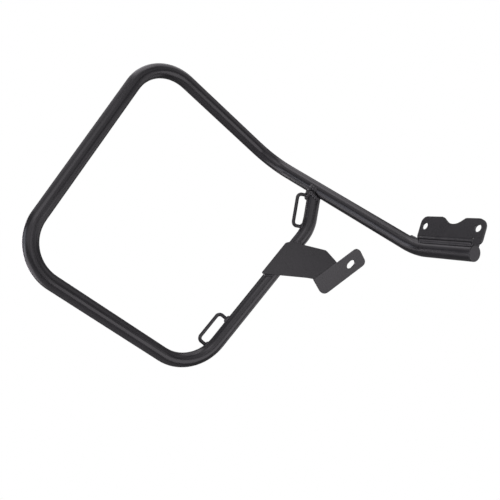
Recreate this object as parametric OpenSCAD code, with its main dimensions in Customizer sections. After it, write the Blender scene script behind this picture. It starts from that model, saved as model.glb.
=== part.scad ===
/* [Tube] */
// Outside diameter of the bent tube
tube_d = 16; // [12:0.5:22]
// Wall thickness of the tube
tube_wall = 2; // [1:0.25:3]
// Radius of every tube bend, measured to the tube's centreline
bend_r = 47; // [30:1:60]

/* [Loop] */
// Height of the loop between tube centrelines
loop_h = 268; // [200:1:320]
// Length of the loop's lower run between tube centrelines
loop_w = 233; // [180:1:280]
// Distance from the rear side to the corner where the upper run turns inboard
arm_at = 188.5; // [150:0.5:230]

/* [Brace] */
// Forward position of the brace's upper bend
brace_x = 246; // [220:1:270]
// Inboard position of the brace's upper bend
brace_in = 54; // [30:1:80]
// Height of the brace's upper bend
brace_z = 203.5; // [180:0.5:230]
// Distance along the arm where the brace's stub is welded on
joint_at = 72.5; // [50:0.5:110]

/* [Tail] */
// Forward position of the tail bend
tail_x = 296; // [260:1:330]
// Inboard position of the tail bend
tail_in = 176.5; // [140:0.5:210]
// Height of the tail bend
tail_z = 206.5; // [180:0.5:240]
// Length of the tail from its bend corner to the closed end
tail_len = 73; // [50:0.5:100]
// Angle by which the tail falls towards its end
tail_drop = 6.6; // [0:0.1:12]
// Thickness of the plug's head that closes the tail
plug_head = 1.6; // [1:0.1:3]
// Depth of the plug's spigot inside the tube
plug_depth = 4; // [2:0.5:8]
// Rounding of the plug's rim
plug_round = 0.8; // [0.3:0.1:0.9]
// Clearance round the plug's spigot
plug_fit = 0.1; // [0.05:0.05:0.3]

/* [Bracket sheet] */
// Sheet thickness of both brackets
sheet = 2.5; // [2:0.25:4]
// Depth by which both brackets are seated into the tube's crown
seat = 0.2; // [0.05:0.05:0.5]

/* [Tail bracket] */
// Lean of the bracket's face about the tail
tail_lean = 16; // [0:1:30]
// Start of the bracket, measured from the tail's bend corner
tail_from = 3.5; // [0:0.5:10]
// Height of the bracket's top edge over the tail's centreline
tail_top = 32.7; // [26:0.1:40]
// Drop of the top edge from its first half to its second
tail_step = 0.7; // [0:0.1:3]
// Corner radius at the bracket's start
tail_start_r = 7; // [2:0.5:9]
// Corner radius at the bracket's free end
tail_free_r = 9; // [2:0.5:10]
// Height of the corner ear's lower edge over the tail's centreline
ear_low = 6.4; // [4:0.1:8]
// Clear distance between the tube's end and the corner ear
ear_gap = 0.6; // [0.2:0.1:2]
// Length of the corner ear along the tail
ear_over = 9.1; // [7:0.1:14]
// Corner radius under the corner ear
ear_under_r = 5; // [1:0.5:6]
// Corner radius of the corner ear beside the tube's end
ear_inner_r = 1; // [0.5:0.1:1.5]
// Width of the relief between the bent flange and the corner ear
relief_w = 2.2; // [1:0.1:4]
// Outer radius of the bracket's bend
tail_bend_r = 4.5; // [3.5:0.5:8]
// Width of the flange that lies on the tube
flange_w = 13; // [10:0.5:18]
// Diameter of the two bolt holes
bolt_d = 7.6; // [5:0.1:9]
// First bolt hole's distance from the bracket's start
bolt_from = 6.2; // [5:0.1:12]
// Second bolt hole's distance from the bracket's free end
bolt_edge = 8; // [6:0.1:14]
// Height of the bolt holes over the tail's centreline
bolt_h = 22.4; // [18:0.1:28]
// Distance of the top notch's middle from the bracket's start
notch_at = 41; // [30:0.1:50]
// Width of the top notch at its mouth
notch_w = 27.8; // [20:0.1:35]
// Depth of the top notch
notch_depth = 6.9; // [3:0.1:12]
// Slope of the top notch's sides
notch_slope = 37.5; // [30:0.5:50]
// Radius where the notch meets the top edge
notch_mouth_r = 4; // [1:0.5:5]

/* [Mid bracket] */
// Roll of the bracket's plate about the brace
mid_roll = 25; // [0:1:45]
// Distance of the plate's rear edge behind the brace's centreline
mid_rear = 11.3; // [8:0.1:16]
// Station of the plate's lower rear corner along the brace
mid_low = 134.6; // [110:0.1:160]
// Station of the plate's upper rear corner along the brace
mid_high = 180; // [160:0.1:190]
// Rise of the chamfer at the plate's upper rear corner
mid_chamfer = 4.4; // [1:0.1:8]
// Run of the chamfer at the plate's upper rear corner
mid_chamfer_run = 3.4; // [1:0.1:8]
// Corner radius of the plate
mid_corner_r = 1.5; // [0.5:0.1:2]
// Slope of the plate's lower edge
mid_slope = 34; // [15:0.1:40]
// Slope of the plate's upper edge
mid_top_slope = 26; // [10:0.1:45]
// Distance in front of the brace where the lower edge levels out
mid_knee = 33; // [25:0.1:36]
// Distance in front of the brace where the upper edge levels out
mid_top_knee = 30.3; // [20:0.1:38]
// Radius where the upper edge levels out
mid_top_knee_r = 6; // [1:0.5:8]
// Tilt of the fold line against the brace
fold_tilt = 14.5; // [0:0.5:30]
// Distance of the fold's lower end in front of the brace's centreline
fold_out = 40.3; // [30:0.1:55]
// Station of the fold's lower end along the brace
fold_at = 167.4; // [160:0.1:175]
// Length of the fold line
fold_len = 33.7; // [28:0.1:40]
// Angle of the fold
fold_angle = 30; // [10:1:60]
// Outer radius of the fold
fold_r = 5.5; // [4:0.5:8]
// Length of the slotted flange along the fold
ear_len = 65.4; // [55:0.1:80]
// Overhang of the slotted flange below the fold's lower end
ear_under = 0.2; // [0:0.1:4]
// Width of the slotted flange from the fold line
ear_w = 26.1; // [22:0.1:34]
// Radius of the slotted flange's lower corner
ear_low_r = 8; // [2:0.5:10]
// Radius of the two corners at the slotted flange's free end
ear_r = 6; // [2:0.5:10]
// Width of the slot
slot_w = 8.8; // [6:0.1:11]
// Overall length of the slot
slot_len = 11.8; // [11:0.1:18]
// Turn of the slot against the flange
slot_turn = 12; // [0:1:45]
// Distance of the slot's middle from the fold's lower end, along the fold
slot_at = 47.6; // [44:0.1:52]
// Distance of the slot's middle from the fold line
slot_out = 14.3; // [10:0.1:20]

/* [Strap loops] */
// Rod diameter of the strap loops
rod_d = 4; // [3:0.5:6]
// Distance between the loop's two legs
loop_pitch = 37; // [25:0.5:42]
// Distance of the loop's outer run from the tube's centreline
loop_reach = 19.6; // [15:0.1:28]
// Bend radius of the loop rod, to its centreline
rod_bend_r = 4.6; // [3:0.1:8]
// Station of the lower loop's lower leg along the brace
lower_loop_at = 33.9; // [30:0.1:80]
// Roll of the lower loop about the brace
lower_loop_roll = 20; // [-30:1:60]
// Station of the upper loop's lower leg along the stub
upper_loop_at = 1.6; // [0:0.1:3]

/* [Weld beads] */
// Radius of the beads round the tube joint
joint_bead_r = 2.7; // [1:0.1:3]
// Distance of that bead's middle from the stub's skin
joint_stand = 0.4; // [0.1:0.1:1]
// Number of ripples in the bead round the tube joint
joint_ripples = 26; // [12:1:40]
// Radius of the beads at the upper loop's feet
upper_bead_r = 1.6; // [1:0.1:2]
// Radius of the beads at the lower loop's feet
lower_bead_r = 2.1; // [1:0.1:2.4]
// Distance of those beads' middle from the rod's skin
foot_stand = 0.5; // [0.4:0.1:1]
// Depth of those beads' middle below the tube's crown
foot_sink = 0.6; // [0.1:0.1:1]
// Radius of the beads along the brackets
bracket_bead_r = 1.8; // [1:0.1:2.5]
// Distance of those beads' middle from the tube's skin
bracket_stand = 0.8; // [0.3:0.1:1.2]
// Distance between a bead's end and the end of its seam
bead_short = 3; // [2:0.5:8]
// Width across the brace of the bead at the middle plate's top edge
top_bead_w = 8; // [4:0.5:10]
// Depth of that bead's middle below the tube's crown
top_bead_sink = 0.5; // [0.1:0.1:1]
// Distance of that bead's middle beyond the plate's top edge
top_bead_out = 0.6; // [0.3:0.1:1]

/* [Hidden] */
$fn = 48;
tube_r = tube_d / 2;
bore_r = tube_r - tube_wall;
rod_r = rod_d / 2;
swell = 0.03;
lap = 1;
slim = 0.05;

rear_top = [0, 0, loop_h];
rear_low = [0, 0, 0];
front_low = [loop_w, 0, 0];
arm_low = [arm_at, 0, loop_h];
brace_top = [brace_x, -brace_in, brace_z];
tail_bend = [tail_x, -tail_in, tail_z];
tail_dir = [0, -cos(tail_drop), -sin(tail_drop)];
tail_end = tail_bend + tail_len * tail_dir;
arm_dir = unit(tail_bend - arm_low);
joint_p = arm_low + joint_at * arm_dir;
brace_dir = unit(brace_top - front_low);
stub_dir = unit(joint_p - brace_top);
tube_end = tail_end - plug_head * tail_dir;
route = [tube_end, tail_bend, arm_low, rear_top, rear_low, front_low, brace_top, joint_p];
bore_end = joint_p - (tube_r + 1) * stub_dir;
bore_route = [tail_end, tail_bend, arm_low, rear_top, rear_low, front_low, brace_top, bore_end];

// directions of the tail bracket: along the tail, up its face, and out of its face
lean_dir = [-cos(tail_lean), 0, -sin(tail_lean)];
tail_out = unit(lean_dir - (lean_dir * tail_dir) * tail_dir);
tail_up = cross(tail_out, tail_dir);
ear_from = tail_len + ear_gap;
relief_from = ear_from - relief_w;
plate_to = ear_from + ear_over;
first_bolt = tail_from + bolt_from;
bolt_pitch = plate_to - bolt_edge - first_bolt;
bolt_mid = first_bolt + bolt_pitch / 2;
tail_mount = tail_bend + bolt_mid * tail_dir + bolt_h * tail_up + (tube_r - sheet / 2) * tail_out;

// directions of the mid bracket: forward, along the brace, and out of its face
brace_fwd = unit([1, 0, 0] - ([1, 0, 0] * brace_dir) * brace_dir);
brace_side = cross(brace_fwd, brace_dir);
mid_out = cos(mid_roll) * brace_side - sin(mid_roll) * brace_fwd;
mid_fwd = cross(brace_dir, mid_out);

// directions of the strap loops away from the tube
turn_axis = unit(cross(brace_dir, stub_dir));
upper_loop_dir = cross(turn_axis, stub_dir);
lower_loop_dir = -cos(lower_loop_roll) * brace_fwd - sin(lower_loop_roll) * brace_side;
upper_foot = brace_top + (upper_loop_at + loop_pitch) * stub_dir;
// the upper loop's low foot stands where the brace still bends, so its bead moves out with the skin
stub_start = bend_r * tan(turn(front_low, brace_top, joint_p) / 2);
upper_rise = pow(max(0, stub_start - upper_loop_at), 2) / (2 * bend_r);

// directions round the stub's end, the first towards the arm's far end
joint_side = unit(arm_dir - (arm_dir * stub_dir) * stub_dir);
joint_cross = cross(stub_dir, joint_side);

plate_low = tube_r - seat + tail_bend_r;
notch_v = notch_w / 2 * tan(notch_slope);
notch_r = (notch_v - notch_depth) / (1 / cos(notch_slope) - 1);
fold_back = fold_r * tan(fold_angle / 2);
mid_top = mid_high + mid_chamfer;
mid_top_at = mid_chamfer_run - mid_rear;

function unit(v) = v / norm(v);
function turn(a, b, c) = acos(unit(b - a) * unit(c - b));
function frame(x, y, z, o) = [
  [x[0], y[0], z[0], o[0]],
  [x[1], y[1], z[1], o[1]],
  [x[2], y[2], z[2], o[2]],
  [0, 0, 0, 1]
];
function side(d) = unit(cross(d, abs(d[2]) > 0.9 ? [1, 0, 0] : [0, 0, 1]));
function put(x, y, z, o, p) = o + p[0] * x + p[1] * y + p[2] * z;

// where the bead's middle meets the arm's skin, at angle a round the stub
function saddle(a) =
  let (r = tube_r + joint_stand, drop = (abs(cos(a)) + cos(a) * (arm_dir * stub_dir)) / (arm_dir * joint_side))
  joint_p + r * (cos(a) * joint_side + sin(a) * joint_cross - drop * stub_dir);

// one rounded corner of an outline; each corner is [x, y, radius]
function corner(a, b, c) =
  let (p = [b[0], b[1]], u = unit([a[0], a[1]] - p), v = unit([c[0], c[1]] - p))
  let (half = acos(u * v) / 2, m = p + unit(u + v) * b[2] / sin(half))
  let (s = p + u * b[2] / tan(half) - m, sweep = 180 - 2 * half)
  let (way = u[0] * v[1] - u[1] * v[0] > 0 ? -1 : 1)
  [for (k = [0 : 6]) let (t = way * sweep * k / 6) m + [s[0] * cos(t) - s[1] * sin(t), s[0] * sin(t) + s[1] * cos(t)]];
function outline(list) = [
  for (i = [0 : len(list) - 1])
    let (a = list[(i + len(list) - 1) % len(list)], b = list[i], c = list[(i + 1) % len(list)])
      for (q = b[2] > 0 ? corner(a, b, c) : [[b[0], b[1]]]) q
];

module rod(a, b, r) {
  d = unit(b - a);
  s = side(d);
  multmatrix(frame(s, cross(d, s), d, a))
    cylinder(h = norm(b - a), r = r);
}

module elbow(a, b, c, bend, r) {
  d = unit(b - a);
  e = unit(c - b);
  angle = turn(a, b, c);
  inward = unit(e - (e * d) * d);
  centre = b - d * bend * tan(angle / 2) + inward * bend;
  multmatrix(frame(-inward, d, cross(-inward, d), centre))
    rotate_extrude(angle = angle)
      translate([bend, 0])
        circle(r = r + swell);
}

module bent(list, bend, r, last_r) {
  last = len(list) - 1;
  for (i = [0 : last - 1]) {
    d = unit(list[i + 1] - list[i]);
    s = i == 0 ? 0 : bend * tan(turn(list[i - 1], list[i], list[i + 1]) / 2) - lap * bend / bend_r;
    e = i == last - 1 ? 0 : bend * tan(turn(list[i], list[i + 1], list[i + 2]) / 2) - lap * bend / bend_r;
    rod(list[i] + d * s, list[i + 1] - d * e, i == last - 1 ? last_r : r);
  }
  for (i = [1 : last - 1])
    elbow(list[i - 1], list[i], list[i + 1], bend, r);
}

module brace_shape() {
  bent([rear_low, front_low, brace_top, joint_p], bend_r, tube_r, tube_r - slim);
}

module tail_shape() {
  bent([tube_end, tail_bend, joint_p], bend_r, tube_r, tube_r);
}

module on_tail() {
  multmatrix(frame(tail_dir, tail_up, tail_out, tail_bend))
    children();
}

module on_brace() {
  multmatrix(frame(mid_fwd, brace_dir, mid_out, front_low))
    children();
}

module place() {
  translate(-tail_mount)
    children();
}

module main_tube() {
  color([0.08, 0.08, 0.085])
    place()
      difference() {
        bent(route, bend_r, tube_r, tube_r - slim);
        bent(bore_route, bend_r, bore_r, bore_r - slim);
      }
}

module tail_plug() {
  s = side(tail_dir);
  color([0.09, 0.09, 0.095])
    place()
      multmatrix(frame(s, cross(tail_dir, s), tail_dir, tube_end))
        rotate_extrude()
          union() {
            translate([0, -plug_depth])
              square([bore_r - plug_fit, plug_depth + plug_head]);
            difference() {
              square([tube_r, plug_head]);
              translate([tube_r - plug_round, plug_head - plug_round])
                square(plug_round + lap);
            }
            translate([tube_r - plug_round, plug_head - plug_round])
              circle(r = plug_round);
          }
}

module strap_loop(foot, along, out) {
  a = foot;
  b = foot + loop_pitch * along;
  bent([a, a + loop_reach * out, b + loop_reach * out, b], rod_bend_r, rod_r, rod_r);
}

module upper_strap_loop() {
  color([0.085, 0.085, 0.09])
    place()
      difference() {
        strap_loop(brace_top + upper_loop_at * stub_dir, stub_dir, upper_loop_dir);
        brace_shape();
      }
}

module lower_strap_loop() {
  color([0.085, 0.085, 0.09])
    place()
      difference() {
        strap_loop(front_low + lower_loop_at * brace_dir, brace_dir, lower_loop_dir);
        brace_shape();
      }
}

module tail_outline() {
  mouth_a = tail_from + notch_at - notch_w / 2;
  mouth_b = mouth_a + notch_w;
  polygon(outline([
    [tail_from, plate_low, 0],
    [tail_from, tail_top, tail_start_r],
    [mouth_a, tail_top, notch_mouth_r],
    [tail_from + notch_at, tail_top - notch_v, notch_r],
    [mouth_b, tail_top - tail_step, notch_mouth_r],
    [plate_to, tail_top - tail_step, tail_free_r],
    [plate_to, ear_low, ear_under_r],
    [ear_from, ear_low, ear_inner_r],
    [ear_from, plate_low + relief_w / 2, 0],
    [relief_from, plate_low + relief_w / 2, 0],
    [relief_from, plate_low, 0]
  ]));
}

module tail_flange() {
  translate([tail_from, 0, 0])
    rotate([90, 0, 90])
      linear_extrude(height = relief_from - tail_from)
        union() {
          translate([plate_low, tube_r - tail_bend_r])
            intersection() {
              difference() {
                circle(r = tail_bend_r);
                circle(r = tail_bend_r - sheet);
              }
              translate([-tail_bend_r, 0])
                square(tail_bend_r);
            }
          translate([tube_r - seat, tube_r - flange_w])
            square([sheet, flange_w - tail_bend_r]);
        }
}

module tail_bracket() {
  color([0.075, 0.075, 0.08])
    place()
      difference() {
        on_tail()
          difference() {
            union() {
              translate([0, 0, tube_r - sheet])
                linear_extrude(height = sheet)
                  tail_outline();
              tail_flange();
            }
            for (k = [0, 1])
              translate([first_bolt + k * bolt_pitch, bolt_h, tube_r - sheet - 1])
                cylinder(h = sheet + 2, r = bolt_d / 2);
          }
        tail_shape();
      }
}

module mid_plate_outline() {
  low_front = [fold_out - fold_back * cos(fold_tilt), fold_at + fold_back * sin(fold_tilt)];
  high_front = low_front + fold_len * [sin(fold_tilt), cos(fold_tilt)];
  polygon(outline([
    [-mid_rear, mid_low, mid_corner_r],
    [mid_knee, mid_low + (mid_rear + mid_knee) * tan(mid_slope), mid_corner_r],
    [low_front[0], low_front[1], 0],
    [high_front[0], high_front[1], 0],
    [mid_top_knee, mid_top + (mid_top_knee - mid_top_at) * tan(mid_top_slope), mid_top_knee_r],
    [mid_top_at, mid_top, mid_corner_r],
    [-mid_rear, mid_high, mid_corner_r]
  ]));
}

module slotted_outline() {
  polygon(outline([
    [fold_back, -ear_under, 0],
    [ear_w, -ear_under, ear_low_r],
    [ear_w, ear_len - ear_under, ear_r],
    [fold_back, ear_len - ear_under, ear_r]
  ]));
}

module fold_sector() {
  over = 1.5;
  reach = 2 * fold_r;
  translate([-fold_back, 0, -fold_r])
    rotate([90, 0, 0])
      translate([0, 0, 2 * swell - fold_len])
        linear_extrude(height = fold_len - 4 * swell)
          intersection() {
            difference() {
              circle(r = fold_r - swell);
              circle(r = fold_r - sheet + swell);
            }
            polygon([
              [0, 0],
              [-reach * sin(over), reach * cos(over)],
              [reach * sin(fold_angle + over), reach * cos(fold_angle + over)]
            ]);
          }
}

// the plate's sheet, taken down below its underside by the given depth
module mid_plate(depth) {
  translate([0, 0, tube_r - seat - depth])
    linear_extrude(height = sheet + depth)
      mid_plate_outline();
}

module mid_bracket() {
  color([0.08, 0.08, 0.085])
    place()
      union() {
        difference() {
          on_brace()
            mid_plate(0);
          brace_shape();
        }
        on_brace()
          translate([fold_out, fold_at, tube_r - seat + sheet])
            rotate(-fold_tilt) {
              fold_sector();
              rotate([0, fold_angle, 0])
                difference() {
                  translate([0, 0, -sheet])
                    linear_extrude(height = sheet)
                      slotted_outline();
                  translate([slot_out, slot_at, -sheet - 1])
                    rotate(slot_turn)
                      slot_cut(sheet + 2);
                }
            }
        }
}

module slot_cut(depth) {
  half = (slot_len - slot_w) / 2;
  for (k = [-1, 1])
    translate([0, k * half, 0])
      cylinder(h = depth, r = slot_w / 2);
  translate([-slot_w / 2, -half, 0])
    cube([slot_w, 2 * half, depth]);
}

module joint_bead() {
  color([0.095, 0.095, 0.1])
    place()
      difference() {
        for (k = [0 : joint_ripples - 1]) {
          a = 360 * k / joint_ripples;
          way = unit(saddle(a + 1) - saddle(a - 1));
          out = cos(a) * joint_side + sin(a) * joint_cross;
          inward = unit((out * way) * way - out);
          multmatrix(frame(inward, cross(way, inward), way, saddle(a)))
            sphere(r = joint_bead_r);
        }
        rod(arm_low, tail_bend, tube_r);
        brace_shape();
        rod(upper_foot, upper_foot + loop_reach * upper_loop_dir, rod_r);
        foot_bead(upper_foot, upper_loop_dir, upper_bead_r);
      }
}

module foot_bead(foot, out, r) {
  q = side(out);
  multmatrix(frame(q, cross(out, q), out, foot + (tube_r - foot_sink) * out))
    rotate_extrude()
      translate([rod_r + foot_stand, 0])
        circle(r = r);
}

module loop_beads(foot, along, out, r, rise) {
  difference() {
    foot_bead(foot + rise * out, out, r);
    brace_shape();
    rod(foot, foot + loop_reach * out, rod_r);
  }
  difference() {
    foot_bead(foot + loop_pitch * along, out, r);
    brace_shape();
    rod(foot + loop_pitch * along, foot + loop_pitch * along + loop_reach * out, rod_r);
  }
}

module upper_loop_beads() {
  color([0.095, 0.095, 0.1])
    place()
      difference() {
        loop_beads(brace_top + upper_loop_at * stub_dir, stub_dir, upper_loop_dir, upper_bead_r, upper_rise);
        rod(arm_low, tail_bend, tube_r);
      }
}

module lower_loop_beads() {
  color([0.095, 0.095, 0.1])
    place()
      loop_beads(front_low + lower_loop_at * brace_dir, brace_dir, lower_loop_dir, lower_bead_r, 0);
}

module bead_line(a, b, r) {
  rod(a, b, r);
  for (p = [a, b])
    translate(p)
      sphere(r = r + swell);
}

// a bead that runs along the tube under a bracket's sheet, off the tube's middle by across
module seam_bead(from, to, across, way) {
  h = sqrt(pow(tube_r + bracket_stand, 2) - across * across);
  a = way == "tail" ? [from, h, across] : [across, from, h];
  b = way == "tail" ? [to, h, across] : [across, to, h];
  bead_line(a, b, bracket_bead_r);
}

module mid_bracket_beads() {
  half = top_bead_w / 2;
  edge = mid_top - mid_top_at * tan(mid_top_slope) + top_bead_out / cos(mid_top_slope);
  color([0.095, 0.095, 0.1])
    place()
      difference() {
        on_brace() {
          difference() {
            for (across = [bracket_bead_r - tube_r, tube_r - bracket_bead_r])
              seam_bead(mid_low + (mid_rear + across) * tan(mid_slope), mid_high - bead_short, across, "brace");
            mid_plate(0);
          }
          difference() {
            bead_line(
              [-half, edge - half * tan(mid_top_slope), tube_r - top_bead_sink],
              [half, edge + half * tan(mid_top_slope), tube_r - top_bead_sink],
              bracket_bead_r
            );
            mid_plate(tube_r / 2);
          }
        }
        brace_shape();
      }
}

module tail_bracket_beads() {
  color([0.095, 0.095, 0.1])
    place()
      difference() {
        on_tail()
          difference() {
            for (across = [tube_r - tail_bend_r / 2, tube_r - flange_w - seat])
              seam_bead(tail_from + bead_short, relief_from - bead_short, across, "tail");
            tail_flange();
          }
        tail_shape();
      }
}

main_tube();
tail_plug();
upper_strap_loop();
lower_strap_loop();
mid_bracket();
tail_bracket();
joint_bead();
upper_loop_beads();
lower_loop_beads();
mid_bracket_beads();
tail_bracket_beads();
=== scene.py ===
import math

import bpy
from mathutils import Matrix, Vector


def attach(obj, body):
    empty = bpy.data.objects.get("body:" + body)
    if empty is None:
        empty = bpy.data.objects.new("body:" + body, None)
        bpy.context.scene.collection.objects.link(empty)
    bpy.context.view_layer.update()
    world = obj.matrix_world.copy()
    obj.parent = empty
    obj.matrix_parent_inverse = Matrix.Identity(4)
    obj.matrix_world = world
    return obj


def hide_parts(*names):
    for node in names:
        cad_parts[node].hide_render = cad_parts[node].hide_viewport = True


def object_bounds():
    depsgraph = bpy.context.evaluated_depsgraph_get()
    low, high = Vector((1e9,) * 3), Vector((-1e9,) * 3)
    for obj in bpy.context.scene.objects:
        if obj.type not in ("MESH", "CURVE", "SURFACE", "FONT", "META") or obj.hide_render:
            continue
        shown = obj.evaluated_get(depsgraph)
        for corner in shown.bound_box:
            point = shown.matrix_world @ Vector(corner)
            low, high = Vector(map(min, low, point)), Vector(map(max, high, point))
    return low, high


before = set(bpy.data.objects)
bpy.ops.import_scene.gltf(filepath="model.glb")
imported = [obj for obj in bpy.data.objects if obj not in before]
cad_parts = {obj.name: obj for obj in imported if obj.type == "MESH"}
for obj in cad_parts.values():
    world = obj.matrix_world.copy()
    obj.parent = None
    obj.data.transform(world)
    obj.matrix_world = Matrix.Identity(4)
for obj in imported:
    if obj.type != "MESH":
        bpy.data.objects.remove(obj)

cadBox = [list(corner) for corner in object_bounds()]
print("frame loaded:", len(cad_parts), "nodes")


# shader wiring

class Wire:
    # an output socket that can be used in sums
    def __init__(self, finish, socket):
        self.finish = finish
        self.socket = socket

    def sum(self, operation, first, second):
        return self.finish.node("ShaderNodeMath", {"operation": operation}, {0: first, 1: second})

    def __add__(self, other):
        return self.sum("ADD", self, other)

    def __radd__(self, other):
        return self.sum("ADD", other, self)

    def __sub__(self, other):
        return self.sum("SUBTRACT", self, other)

    def __rsub__(self, other):
        return self.sum("SUBTRACT", other, self)

    def __mul__(self, other):
        return self.sum("MULTIPLY", self, other)

    def __rmul__(self, other):
        return self.sum("MULTIPLY", other, self)


class Finish:
    def __init__(self, name, owner=None):
        self.owner = owner or bpy.data.materials.new(name)
        self.owner.use_nodes = True
        self.tree = self.owner.node_tree
        self.tree.nodes.clear()

    def node(self, kind, settings=None, inputs=None, output=0):
        made = self.tree.nodes.new(kind)
        for key, value in (settings or {}).items():
            if key == "stops":
                ramp = made.color_ramp
                while len(ramp.elements) < len(value):
                    ramp.elements.new(1.0)
                for element, (place, shade) in zip(ramp.elements, value):
                    element.position = place
                    element.color = (shade, shade, shade, 1)
            else:
                setattr(made, key, value)
        for key, value in (inputs or {}).items():
            if isinstance(value, Wire):
                self.tree.links.new(value.socket, made.inputs[key])
            else:
                made.inputs[key].default_value = value
        return Wire(self, made.outputs[output])

    def close(self, surface, kind="ShaderNodeOutputMaterial"):
        out = self.tree.nodes.new(kind)
        self.tree.links.new(surface.socket, out.inputs["Surface"])
        return self.owner


# the black coating on tube, sheet, rod and weld

coating = {
    "tube": {"dark": (0.013, 0.0122, 0.0142, 1), "pale": (0.0215, 0.0203, 0.0235, 1), "rough": 0.19,
             "peel": 620, "peelDepth": 0.00003, "grain": 3400, "grainDepth": 0.000008, "edge": 0.0003},
    "sheet": {"dark": (0.0155, 0.0148, 0.0166, 1), "pale": (0.0262, 0.0248, 0.0276, 1), "rough": 0.22,
              "peel": 480, "peelDepth": 0.00005, "grain": 2600, "grainDepth": 0.000018, "edge": 0.00055},
    "rod": {"dark": (0.013, 0.0122, 0.0142, 1), "pale": (0.0225, 0.0213, 0.0245, 1), "rough": 0.2,
            "peel": 900, "peelDepth": 0.00004, "grain": 3600, "grainDepth": 0.000015, "edge": 0.0002},
    "weld": {"dark": (0.0195, 0.0185, 0.021, 1), "pale": (0.037, 0.0352, 0.039, 1), "rough": 0.17,
             "peel": 1300, "peelDepth": 0.0001, "grain": 3800, "grainDepth": 0.00004, "edge": 0.0002},
}
# painted shade: colour, roughness, shine, reach and mask stops of the near-black finish mixed into crevices
# where pieces meet
creviceShade = {"colour": (0.006, 0.006, 0.0065, 1), "rough": 0.75, "shine": 0.12, "reach": 0.004, "most": 0.5,
           "stops": [(0.3, 1.0), (0.62, 0.0)]}
pattern = {"broad": 38.0, "dust": 420.0, "speckStops": [(0.0, 1.0), (0.07, 0.0)],
           "mottleStops": [(0.32, 0.0), (0.72, 1.0)], "broadShare": 0.7, "grainShare": 0.3,
           "mottleTint": 0.75, "speckTint": 0.12, "broadRough": 0.06, "fineRough": 0.05,
           "peelStrength": 0.55, "grainStrength": 0.45}


def makeCoating(name):
    look = coating[name]
    finish = Finish(name + "Coating")
    place = finish.node("ShaderNodeTexCoord", output="Object")
    broad = finish.node("ShaderNodeTexNoise", {"noise_dimensions": "3D"},
                        {"Vector": place, "Scale": pattern["broad"], "Detail": 4.0, "Roughness": 0.6})
    peel = finish.node("ShaderNodeTexNoise", {"noise_dimensions": "3D"},
                       {"Vector": place, "Scale": look["peel"], "Detail": 2.0, "Roughness": 0.5})
    grain = finish.node("ShaderNodeTexNoise", {"noise_dimensions": "3D"},
                        {"Vector": place, "Scale": look["grain"], "Detail": 3.0, "Roughness": 0.7})
    dust = finish.node("ShaderNodeTexVoronoi", {"feature": "F1"},
                       {"Vector": place, "Scale": pattern["dust"], "Randomness": 1.0})
    specks = finish.node("ShaderNodeValToRGB", {"stops": pattern["speckStops"]}, {"Fac": dust})
    mottle = finish.node("ShaderNodeValToRGB", {"stops": pattern["mottleStops"]},
                         {"Fac": broad * pattern["broadShare"] + grain * pattern["grainShare"]})
    colour = finish.node("ShaderNodeMix", {"data_type": "RGBA"},
                         {0: mottle * pattern["mottleTint"] + specks * pattern["speckTint"],
                           6: look["dark"], 7: look["pale"]}, output=2)
    rough = (look["rough"] + broad * pattern["broadRough"] + grain * pattern["fineRough"]
             + specks * pattern["fineRough"])
    edge = finish.node("ShaderNodeBevel", {"samples": 6}, {"Radius": look["edge"]})
    orange = finish.node("ShaderNodeBump", None,
                         {"Height": peel, "Distance": look["peelDepth"], "Strength": pattern["peelStrength"],
                          "Normal": edge})
    fine = finish.node("ShaderNodeBump", None,
                       {"Height": grain, "Distance": look["grainDepth"], "Strength": pattern["grainStrength"],
                        "Normal": orange})
    body = finish.node("ShaderNodeBsdfPrincipled", None,
                       {"Base Color": colour, "Roughness": rough, "Normal": fine, "IOR": 1.5,
                        "Metallic": 0.0, "Specular IOR Level": 0.5})
    # painted shade: where ambient occlusion finds two pieces close together, a near-black dull shader is
    # mixed in and darkens the crevice
    paintedShade = finish.node("ShaderNodeBsdfPrincipled", None,
                       {"Base Color": creviceShade["colour"], "Roughness": creviceShade["rough"], "Metallic": 0.0,
                        "Specular IOR Level": creviceShade["shine"]})
    openness = finish.node("ShaderNodeAmbientOcclusion", {"samples": 8}, {"Distance": creviceShade["reach"]},
                           output="AO")
    paintedShadeMask = finish.node("ShaderNodeValToRGB", {"stops": creviceShade["stops"]}, {"Fac": openness})
    mixed = finish.node("ShaderNodeMixShader", None, {0: paintedShadeMask * creviceShade["most"], 1: body, 2: paintedShade})
    return finish.close(mixed)


coats = {name: makeCoating(name) for name in coating}
nodeCoats = {"main_tube": "tube", "tail_plug": "tube", "upper_strap_loop": "rod", "lower_strap_loop": "rod",
             "mid_bracket": "sheet", "tail_bracket": "sheet"}
for nodeName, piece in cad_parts.items():
    piece.data.materials.clear()
    piece.data.materials.append(coats[nodeCoats.get(nodeName, "weld")])
print("coatings made:", len(coats))


# the tube's route, in millimetres from the loop's rear lower corner

route = {
    "tubeRadius": 8.0, "sheet": 2.5,
    "armStart": (188.5, 0, 268), "tailBend": (296, -176.5, 206.5), "tailDrop": 6.6,
    "frontLow": (233, 0, 0), "braceTop": (246, -54, 203.5), "jointAt": 72.5,
}


def turned(angle):
    return math.cos(math.radians(angle)), math.sin(math.radians(angle))


dropCos, dropSin = turned(route["tailDrop"])
tailBend = Vector(route["tailBend"])
tailDir = Vector((0, -dropCos, -dropSin))
armDir = (tailBend - Vector(route["armStart"])).normalized()
joint = Vector(route["armStart"]) + armDir * route["jointAt"]
frontLow = Vector(route["frontLow"])
braceTop = Vector(route["braceTop"])
braceDir = (braceTop - frontLow).normalized()
stubDir = (joint - braceTop).normalized()
tubeRadius = route["tubeRadius"]

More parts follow.
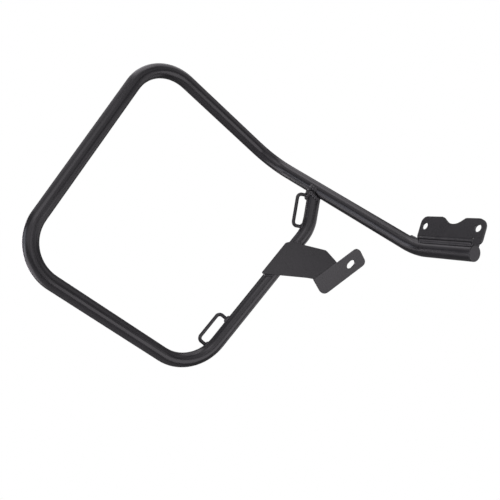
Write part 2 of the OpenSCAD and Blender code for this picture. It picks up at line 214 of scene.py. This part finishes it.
tailPlate = {"lean": 16, "to": 71.4, "boltMiddle": 42.2, "boltHeight": 22.4}
leanCos, leanSin = turned(tailPlate["lean"])
lean = Vector((-leanCos, 0, -leanSin))
tailOut = (lean - tailDir * lean.dot(tailDir)).normalized()
tailUp = tailOut.cross(tailDir)
mount = (tailBend + tailDir * tailPlate["boltMiddle"] + tailUp * tailPlate["boltHeight"]
         + tailOut * (tubeRadius - route["sheet"] / 2))

midPlate = {"roll": 25, "rear": 11.3, "low": 134.6, "high": 180, "chamfer": 4.4, "chamferRun": 3.4,
            "lowSlope": 34, "topSlope": 26}
forward = (Vector((1, 0, 0)) - braceDir * braceDir.x).normalized()
side = forward.cross(braceDir)
rollCos, rollSin = turned(midPlate["roll"])
midOut = side * rollCos - forward * rollSin
midForward = braceDir.cross(midOut)

strapLoop = {"rod": 2.0, "pitch": 37, "upperAt": 1.6, "lowerAt": 33.9, "lowerRoll": 20}
turnAxis = braceDir.cross(stubDir).normalized()
upperOut = turnAxis.cross(stubDir)
loopCos, loopSin = turned(strapLoop["lowerRoll"])
lowerOut = -forward * loopCos - side * loopSin


def toFrame(point):
    return (point - mount) * 0.001


# weld beads: overlapping ripples laid along a path

beadShape = {"ring": 14, "steps": 8, "dip": 0.26, "lean": 0.42, "sharpness": 0.6, "widening": 1.08,
             "blunt": 1.3, "tip": 0.05, "probe": 0.004, "chords": 60, "fewest": 3}


def rippledBead(name, path, outward, radius, pitch, closed, replaced):
    # path and outward are functions of 0..1; the bead's crest leans along the run
    chords = beadShape["chords"]
    length = sum((path((i + 1) / chords) - path(i / chords)).length for i in range(chords))
    ripples = max(beadShape["fewest"], round(length / pitch))
    count = ripples * beadShape["steps"]
    points, faces = [], []
    total = count if closed else count + 1
    for i in range(total):
        t = i / count
        after, before = t + beadShape["probe"], t - beadShape["probe"]
        if closed:
            ahead = (path(after % 1) - path(before % 1)).normalized()
        else:
            ahead = (path(min(after, 1)) - path(max(before, 0))).normalized()
        up = outward(t)
        up = (up - ahead * up.dot(ahead)).normalized()
        across = ahead.cross(up)
        phase = (i % beadShape["steps"]) / beadShape["steps"]
        swell = 1 - beadShape["dip"] * (1 - math.sin(math.pi * phase) ** beadShape["sharpness"])
        taper = 1.0
        if not closed:
            nearEnd = max(0.0, min(t, 1 - t)) * length / radius * beadShape["blunt"]
            taper = min(1.0, math.sqrt(nearEnd) + beadShape["tip"])
        size = radius * swell * taper
        for k in range(beadShape["ring"]):
            a = 2 * math.pi * k / beadShape["ring"]
            shift = beadShape["lean"] * radius * max(0.0, math.cos(a)) * taper
            sideways = across * (math.sin(a) * size * beadShape["widening"])
            points.append(toFrame(path(t) + up * (math.cos(a) * size) + sideways + ahead * shift))
    ring = beadShape["ring"]
    for i in range(count):
        j = (i + 1) % total
        for k in range(ring):
            m = (k + 1) % ring
            faces.append((i * ring + k, i * ring + m, j * ring + m, j * ring + k))
    if not closed:
        faces.append(tuple(range(ring - 1, -1, -1)))
        faces.append(tuple(range((total - 1) * ring, total * ring)))
    mesh = bpy.data.meshes.new(name)
    mesh.from_pydata([tuple(p) for p in points], [], faces)
    mesh.validate()
    for face in mesh.polygons:
        face.use_smooth = True
    bead = bpy.data.objects.new(name, mesh)
    bpy.context.scene.collection.objects.link(bead)
    mesh.materials.append(coats["weld"])
    smooth = bead.modifiers.new("soften", "SUBSURF")
    smooth.levels = 1
    smooth.render_levels = 1
    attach(bead, "root")
    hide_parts(replaced)


welds = {"joint": 2.8, "jointLow": 2.5, "upperFoot": 1.6, "lowerFoot": 2.5, "sheet": 1.8, "pitch": 3.1,
         "saddleLift": 0.5, "saddleFall": 0.9}

# round the stub's saddle on the arm
stubSide = (armDir - stubDir * armDir.dot(stubDir)).normalized()
stubCross = stubDir.cross(stubSide)
tilt = armDir.dot(stubDir)
rise = armDir.dot(stubSide)


def saddlePath(t):
    a = 2 * math.pi * t
    r = tubeRadius + welds["saddleLift"]
    drop = (r * abs(math.cos(a)) + r * math.cos(a) * tilt) / rise
    return joint + stubSide * (r * math.cos(a)) + stubCross * (r * math.sin(a)) - stubDir * drop


def saddleOut(t):
    a = 2 * math.pi * t
    return stubSide * math.cos(a) + stubCross * math.sin(a) - stubDir * welds["saddleFall"]


# the second pass covers the front of the stub below the first
lowPass = {"from": 0.62, "span": 0.32, "drop": 5.2, "fall": 3.2}


def lowPassPath(t):
    drop = lowPass["drop"] + lowPass["fall"] * t
    return saddlePath(lowPass["from"] + lowPass["span"] * t) - stubDir * drop


def lowPassOut(t):
    return saddleOut(lowPass["from"] + lowPass["span"] * t)


rippledBead("jointWeld", saddlePath, saddleOut, welds["joint"], welds["pitch"], True, "joint_bead")
rippledBead("jointWeldLow", lowPassPath, lowPassOut, welds["jointLow"], welds["pitch"], False, "joint_bead")


footRing = {"gap": 0.35, "sunk": 0.5, "outward": 0.8, "pitch": 1.7}


def footPath(foot, out, lift):
    # a ring round a rod's foot, following the tube's round wall
    first = out.orthogonal().normalized()
    second = out.cross(first)
    r = strapLoop["rod"] + footRing["gap"]

    def path(t):
        a = 2 * math.pi * t
        flat = first * (r * math.cos(a)) + second * (r * math.sin(a))
        return foot + flat + out * (tubeRadius - footRing["sunk"] + lift)

    def outward(t):
        a = 2 * math.pi * t
        return first * math.cos(a) + second * math.sin(a) + out * footRing["outward"]

    return path, outward


upperAt, lowerAt, loopPitch = strapLoop["upperAt"], strapLoop["lowerAt"], strapLoop["pitch"]
feet = {
    "upperLoopWeldLow": (braceTop + stubDir * upperAt, upperOut, "upperFoot", 1.3),
    "upperLoopWeldHigh": (braceTop + stubDir * (upperAt + loopPitch), upperOut, "upperFoot", 0),
    "lowerLoopWeldLow": (frontLow + braceDir * lowerAt, lowerOut, "lowerFoot", 0),
    "lowerLoopWeldHigh": (frontLow + braceDir * (lowerAt + loopPitch), lowerOut, "lowerFoot", 0),
}
for name, (foot, out, size, lift) in feet.items():
    path, outward = footPath(foot, out, lift)
    replaced = "upper_loop_beads" if size == "upperFoot" else "lower_loop_beads"
    rippledBead(name, path, outward, welds[size], footRing["pitch"], True, replaced)


midWeld = {"height": 0.8, "pitch": 2.3, "shortOfTop": 3, "crownLift": 0.7, "crownHalf": 4, "crownOut": 7.5}


def onTail(along, up, out):
    return tailBend + tailDir * along + tailUp * up + tailOut * out


def onBrace(across, along, out):
    return frontLow + midForward * across + braceDir * along + midOut * out


def straightPath(start, end):
    return lambda t: start.lerp(end, t)


def seamHeight(across):
    return math.sqrt((tubeRadius + midWeld["height"]) ** 2 - across ** 2)


# both seams run beside the folded flange; past is where they stop beyond the plate's end
tailSeams = {
    "Front": {"out": 5.4, "high": 6.4, "size": 2.75, "start": 4.2, "past": 0.9},
    "Back": {"out": -5.2, "high": 7.1, "size": 1.8, "start": 6.5, "past": -3},
}
tailWeld = {"pitch": 2.6, "rise": 0.3}
for name, seam in tailSeams.items():
    stop = tailPlate["to"] + seam["past"]
    ends = [onTail(along, seam["high"], seam["out"]) for along in (seam["start"], stop)]
    rippledBead("tailWeld" + name, straightPath(*ends),
                lambda t: tailUp * tailWeld["rise"] + tailOut * math.copysign(1, seam["out"]),
                seam["size"], tailWeld["pitch"], False, "tail_bracket_beads")

# a short run over the tube at the plate's upper end, on the rim that the photograph shows
endWeld = {"viewDirection": (0.447958, 0.827878, 0.337567), "back": 14, "sunk": 0.4,
           "onPlate": (3.6, 7.4, 3.0), "size": 2.1, "pitch": 3.6}
endSide = armDir.cross(Vector(endWeld["viewDirection"])).normalized()
endRun = (tailBend - armDir * endWeld["back"] + endSide * (tubeRadius - endWeld["sunk"]),
          onTail(*endWeld["onPlate"]))
rippledBead("tailWeldEnd", straightPath(*endRun), lambda t: tailUp, endWeld["size"], endWeld["pitch"],
            False, "tail_bracket_beads")

lowTan = math.tan(math.radians(midPlate["lowSlope"]))
topTan = math.tan(math.radians(midPlate["topSlope"]))
midSeams = {"Rear": welds["sheet"] - tubeRadius, "Front": tubeRadius - welds["sheet"]}
for name, across in midSeams.items():
    low = midPlate["low"] + (midPlate["rear"] + across) * lowTan
    high = seamHeight(across)
    top = midPlate["high"] - midWeld["shortOfTop"]
    rippledBead("midWeld" + name, straightPath(onBrace(across, low, high), onBrace(across, top, high)),
                lambda t: midForward * math.copysign(1, across), welds["sheet"], midWeld["pitch"], False,
                "mid_bracket_beads")

# lumps along the plate's lower edge, where it crosses the tube
lump = {"across": (-7.4, 1.5), "below": 1.2, "out": 0.5, "face": 0.7, "size": 1.9, "pitch": 3.0}
lowEnds = []
for across in lump["across"]:
    low = midPlate["low"] + (midPlate["rear"] + across) * lowTan
    lowEnds.append(onBrace(across, low - lump["below"], seamHeight(across) + lump["out"]))
rippledBead("midWeldLow", straightPath(*lowEnds), lambda t: midOut * lump["face"] - braceDir, lump["size"],
            lump["pitch"], False, "mid_bracket_beads")
crown = (midPlate["high"] + midPlate["chamfer"] + (midPlate["rear"] - midPlate["chamferRun"]) * topTan
         + midWeld["crownLift"])
crownEnds = [onBrace(across, crown + across * topTan, midWeld["crownOut"])
             for across in (-midWeld["crownHalf"], midWeld["crownHalf"])]
rippledBead("midWeldTop", straightPath(*crownEnds), lambda t: midOut + braceDir, welds["sheet"],
            midWeld["pitch"], False, "mid_bracket_beads")
print("weld beads laid")


# floor, white surround, lamps and camera

stage = {"floorBelow": 1.05, "floorSize": 2.4, "floorGlow": 0.8, "surround": 0.17,
         "floorColour": (0.86, 0.86, 0.86, 1), "lampTint": (1.03, 0.985, 1.04)}
lowest = cadBox[0][2]
floorMesh = bpy.data.meshes.new("floor")
half = stage["floorSize"] / 2
level = lowest - stage["floorBelow"]
corners = [(-half, -half, level), (half, -half, level), (half, half, level), (-half, half, level)]
floorMesh.from_pydata(corners, [], [(0, 1, 2, 3)])
floor = bpy.data.objects.new("floor", floorMesh)
bpy.context.scene.collection.objects.link(floor)
floorFinish = Finish("paleFloor")
seen = floorFinish.node("ShaderNodeLightPath", output="Is Camera Ray")
flat = floorFinish.node("ShaderNodeBsdfDiffuse", None, {"Color": stage["floorColour"]})
glow = floorFinish.node("ShaderNodeEmission", None,
                        {"Color": (1, 1, 1, 1), "Strength": seen * stage["floorGlow"]})
lit = floorFinish.node("ShaderNodeAddShader", None, {0: flat, 1: glow})
floorMesh.materials.append(floorFinish.close(lit))

world = bpy.data.worlds.new("studio")
bpy.context.scene.world = world
air = Finish("studio", world)
rays = "ShaderNodeLightPath"
direct = air.node(rays, output="Is Camera Ray")
clear = air.node(rays, output="Is Transmission Ray")
shown = air.node("ShaderNodeMath", {"operation": "MAXIMUM"}, {0: direct, 1: clear})
strength = shown + (1 - shown) * stage["surround"]
air.close(air.node("ShaderNodeBackground", None, {"Color": (1, 1, 1, 1), "Strength": strength}),
          "ShaderNodeOutputWorld")

cameraView = {"place": (-0.384585, -0.374787, -0.304987), "right": (0.690986, -0.560179, 0.456879),
              "up": (-0.567338, -0.028591, 0.822989), "lens": 43.369, "sensor": 36, "near": 0.01, "far": 50}
right = Vector(cameraView["right"]).normalized()
up = Vector(cameraView["up"])
up = (up - right * up.dot(right)).normalized()
behind = right.cross(up)
cameraData = bpy.data.cameras.new("camera")
cameraData.lens = cameraView["lens"]
cameraData.sensor_width = cameraView["sensor"]
cameraData.clip_start = cameraView["near"]
cameraData.clip_end = cameraView["far"]
camera = bpy.data.objects.new("camera", cameraData)
bpy.context.scene.collection.objects.link(camera)
turn = Matrix((right, up, behind)).transposed().to_4x4()
camera.matrix_world = Matrix.Translation(Vector(cameraView["place"])) @ turn
bpy.context.scene.camera = camera

# each lamp stands off the frame's middle: (right, up, towards the camera)
lamps = {
    "rightBox": {"from": (0.85, -0.54, 0.65), "size": 1.0, "power": 4.7},
    "frontBox": {"from": (0.2, 0.0, 0.98), "size": 0.5, "power": 0.74},
    "bendBox": {"from": (-0.96, 0.04, 0.27), "size": 0.5, "power": 1.3, "tint": (0.94, 0.96, 1.1)},
    "behindBox": {"from": (-0.04, 0.95, -0.3), "size": 1.0, "power": 3.0},
    "rightRimBox": {"from": (0.92, -0.45, -0.5), "size": 1.0, "power": 2.4},
    "keyBox": {"from": (-0.18, 0.66, 0.73), "size": 0.5, "power": 0.83},
    "leftBox": {"from": (-1.02, -0.59, 0.2), "size": 1.0, "power": 4.57},
    "endBox": {"from": (0.98, -0.09, 0.15), "size": 0.5, "power": 0.54},
    "rimBox": {"from": (-0.68, 0.96, -0.25), "size": 1.0, "power": 1.57},
    "topBox": {"from": (-0.05, 0.98, 0.19), "size": 0.5, "power": 0.95},
    "leftFrontBox": {"from": (-0.43, 0.39, 1.05), "size": 1.0, "power": 2.13},
    "highFrontBox": {"from": (0.47, 0.61, 0.92), "size": 1.0, "power": 1.4},
    "highRightBox": {"from": (0.91, 0.77, -0.12), "size": 1.0, "power": 1.35},
    "backLeftBox": {"from": (-0.79, -0.07, -0.6), "size": 0.5, "power": 2.97},
    "highLeftBox": {"from": (-0.53, 0.75, 0.4), "size": 0.5, "power": 0.33},
}
middle = (Vector(cadBox[0]) + Vector(cadBox[1])) / 2
for name, lamp in lamps.items():
    light = bpy.data.lights.new(name, "AREA")
    light.shape = "SQUARE"
    light.size = lamp["size"]
    light.energy = lamp["power"]
    light.color = lamp.get("tint", stage["lampTint"])
    holder = bpy.data.objects.new(name, light)
    x, y, z = lamp["from"]
    away = right * x + up * y + behind * z
    holder.location = middle + away
    holder.rotation_mode = "QUATERNION"
    holder.rotation_quaternion = away.to_track_quat("Z", "Y")
    holder.visible_camera = False
    bpy.context.scene.collection.objects.link(holder)

bpy.context.scene.view_settings.view_transform = "Standard"
print("studio set:", len(lamps), "lamps")
